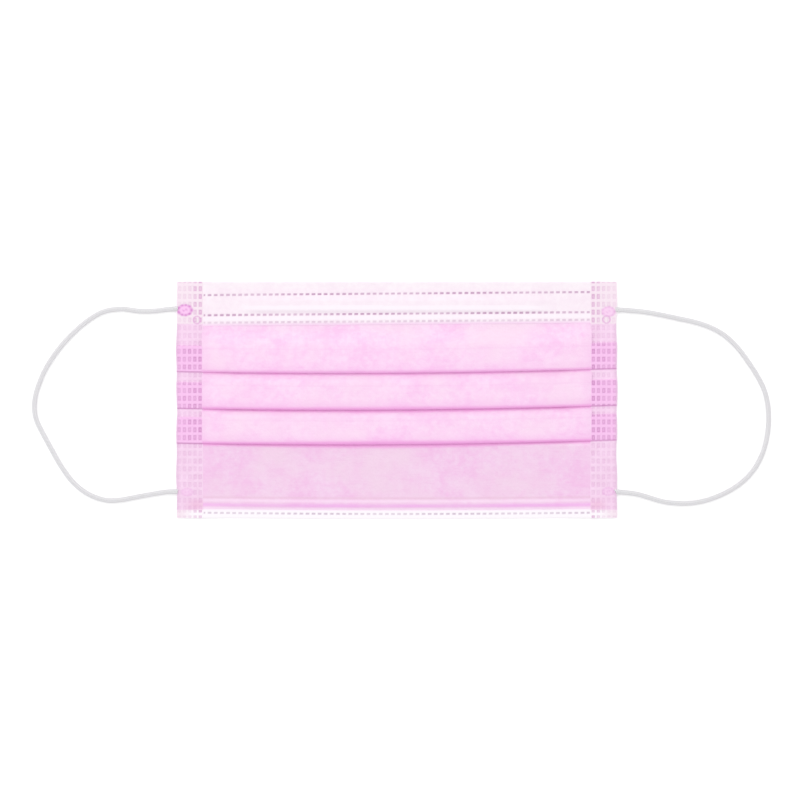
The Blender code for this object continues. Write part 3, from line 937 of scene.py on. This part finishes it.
seam_material = cloth_material(
    "welded_spunbond",
    linear(249, 214, 242),
    linear(243, 204, 234),
    tints=(
        ("triple", linear(248, 189, 238), 1.0),
        ("foot", linear(238, 180, 215), 0.7),
        ("hem", linear(247, 228, 240), 1.0),
        ("bright", linear(255, 248, 254), 1.0),
        # border: painted shadow along the seam's outer edge.
        ("border", linear(221, 186, 214), 0.5),
        ("back", linear(249, 238, 246), 0.75),
        ("block", linear(205, 132, 193), 1.0),
        # crease: painted shade, the crease lines carried on across the seam.
        ("crease", linear(214, 132, 200), 0.65),
        ("spot", linear(251, 190, 242), 1.0),
        ("rim", linear(214, 116, 204), 1.0),
    ),
    bump=0.2,
    bond_depth=0.0,
)
s = np.linspace(0, SEAM_WIDTH, 54)[None, :]
seam_line = np.linspace(CLOTH_LOW, CLOTH_HIGH, 441)[:, None]
at_border = ease(s / (0.4 * MM)) * ease((SEAM_WIDTH - s) / (0.6 * MM))
for side_name, side in (("left", -1), ("right", 1)):
    x = side * (SEAM_INSIDE + s)
    y = seam_line + chin_shift(x) * ease(-seam_line / (20 * MM))
    wobble = 0.12 * MM * np.sin(y / (2.7 * MM)) + 0.1 * MM * np.sin(y / (7.1 * MM) + side)
    x = x + side * wobble * ease((s - WOBBLE_FROM) / (3 * MM))
    triple, crease_shade_line = pleats_in_seam(x, y)
    hem = np.maximum(ease((y - NOSE_CUT) / (0.5 * MM)), ease((CHIN_CUT - y) / (0.5 * MM)))
    spot, rim = loop_spots(x, y, side_name)
    block = welded_blocks(s, y, side) * (1 - spot)
    faint = 0.33 + 0.6 * triple + 0.45 * hem * ease((6.0 * MM - s) / (4.0 * MM))
    from_foot = ((y - CLOTH_LOW - FOOT_AT[1]) / FOOT_HALF[1]) ** 2 + ((s - FOOT_AT[0]) / FOOT_HALF[0]) ** 2
    thick = SINGLE + (TRIPLE - SINGLE) * np.clip(triple, 0, 1) + HEM_EXTRA * hem
    pressed = BLOCK_DEPTH * block * np.clip(0.5 + 0.5 * triple, 0, 1) + RIM_DEPTH * rim - SPOT_RISE * spot
    top = SEAM_BASE + (thick - BLOCK_SWELL * block) * (0.75 + 0.25 * at_border) - pressed
    low = SEAM_BASE + BLOCK_UNDER * block * at_border
    seam = closed_pair(
        side_name + "_welded_seam",
        np.stack([x, y, top], axis=-1),
        np.stack([x, y, low], axis=-1),
        np.stack([x, y], axis=-1),
        seam_material,
        {
            "triple": np.clip(triple, 0, 1) * (1 - hem),
            "hem": hem,
            "block": np.clip(block * faint, 0, 1),
            "crease": crease_shade_line,
            "spot": spot,
            "rim": rim,
            # border: painted shadow along the seam's outer edge.
            "border": ease((s - SEAM_WIDTH + 1.5 * MM) / (1.2 * MM)) * (1 - hem),
            "back": np.array([0.0, 1.0])[:, None, None],
            "foot": np.exp(-from_foot),
            "bright": ease((CHIN_CUT - y) / (0.8 * MM)) * ease((9.5 * MM - s) / (6 * MM)),
        },
    )
    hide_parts(side_name + "_side_seam")
    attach(seam, "mask_body")

# ---------------------------------------------------------------------------------------------------
# Loop welds.
# The four ends of the ear loops, melted flat against the back of the seams. A flattened end is a
# cushion-shaped oval that narrows to the width of the cord where the cord leaves it.

WELD_FULLNESS = 0.45
WELD_FLATNESS = 0.7
WELD_NARROWED = 0.45


def flat_end(name, low, high, side):
    """A flattened end between two corners: a superellipsoid, x = a cos^m(v) cos(u), y = b cos^m(v) sin(u)
    and z = c sin^n(v), with its half-width b narrowed towards the cord."""
    u = np.linspace(0, 2 * math.pi, 49)[None, :-1]
    v = np.linspace(-math.pi / 2, math.pi / 2, 21)[1:-1, None]
    centre, half = (low + high) / 2, (high - low) / 2
    ring = np.cos(v) ** WELD_FULLNESS
    out = np.cos(u) * ring
    rings = np.stack([
        centre[0] + half[0] * out,
        centre[1] + half[1] * ring * np.sin(u) * (1 - WELD_NARROWED * ease(out * side)),
        centre[2] + half[2] * np.sign(v) * np.abs(np.sin(v)) ** WELD_FLATNESS + 0 * u,
    ], axis=-1)
    verts, faces = drawn_shut(rings, (centre[0], centre[1], low[2]), (centre[0], centre[1], high[2]))
    made = mesh_object(name, verts, faces, elastic)
    give_uv(made, verts[:, :2])
    return made


for side_name, side in (("left", -1), ("right", 1)):
    for level in ("upper", "lower"):
        node = side_name + "_" + level + "_loop_weld"
        low, high = (np.array(corner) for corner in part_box(node))
        weld = flat_end(side_name + "_" + level + "_flat_end", low, high, side)
        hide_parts(node)
        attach(weld, "mask_body")

# ---------------------------------------------------------------------------------------------------
# Nose wire.
# A flat white plastic strip with two galvanised steel wires moulded into it, lying loose in the nose
# hem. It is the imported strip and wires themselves, given their finishes.

STRIP_GRAIN = 300.0
WIRE_GRAIN = 1500.0
GRAIN_RELIEF = (0.1, 0.05 * MM)


def grain_group():
    """Fine grain, from a place on the piece in metres: one noise of that scale."""
    group = bpy.data.node_groups.new("fine_grain", "ShaderNodeTree")
    group.interface.new_socket("Place", in_out="INPUT", socket_type="NodeSocketVector")
    group.interface.new_socket("Scale", in_out="INPUT", socket_type="NodeSocketFloat")
    group.interface.new_socket("Grain", in_out="OUTPUT", socket_type="NodeSocketFloat")
    given = group.nodes.new("NodeGroupInput")
    result = group.nodes.new("NodeGroupOutput")
    inputs = {"Vector": given.outputs["Place"], "Scale": given.outputs["Scale"]}
    group.links.new(add_node(group, "TexNoise", inputs).outputs["Fac"], result.inputs["Grain"])
    return group


fine_grain = grain_group()
strip, strip_shader = principled("white_plastic", Roughness=0.42, IOR=1.5)
wire, wire_shader = principled("galvanised_wire", Roughness=0.35, Metallic=1.0)
for made, shader, light, deep, scale in (
    (strip, strip_shader, linear(244, 243, 240), linear(236, 235, 232), STRIP_GRAIN),
    (wire, wire_shader, linear(198, 200, 203), linear(150, 153, 158), WIRE_GRAIN),
):
    tree = made.node_tree
    place = add_node(tree, "TexCoord", {}).outputs["Object"]
    grain = add_node(tree, "Group", {"Place": place, "Scale": scale}, node_tree=fine_grain).outputs["Grain"]
    colour_and_relief(tree, shader, mixed(tree, grain, light, deep), grain, *GRAIN_RELIEF)
for node, made in (("sheath", strip), ("upper_core", wire), ("lower_core", wire)):
    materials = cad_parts["nose_wire_" + node].data.materials
    materials.clear()
    materials.append(made)
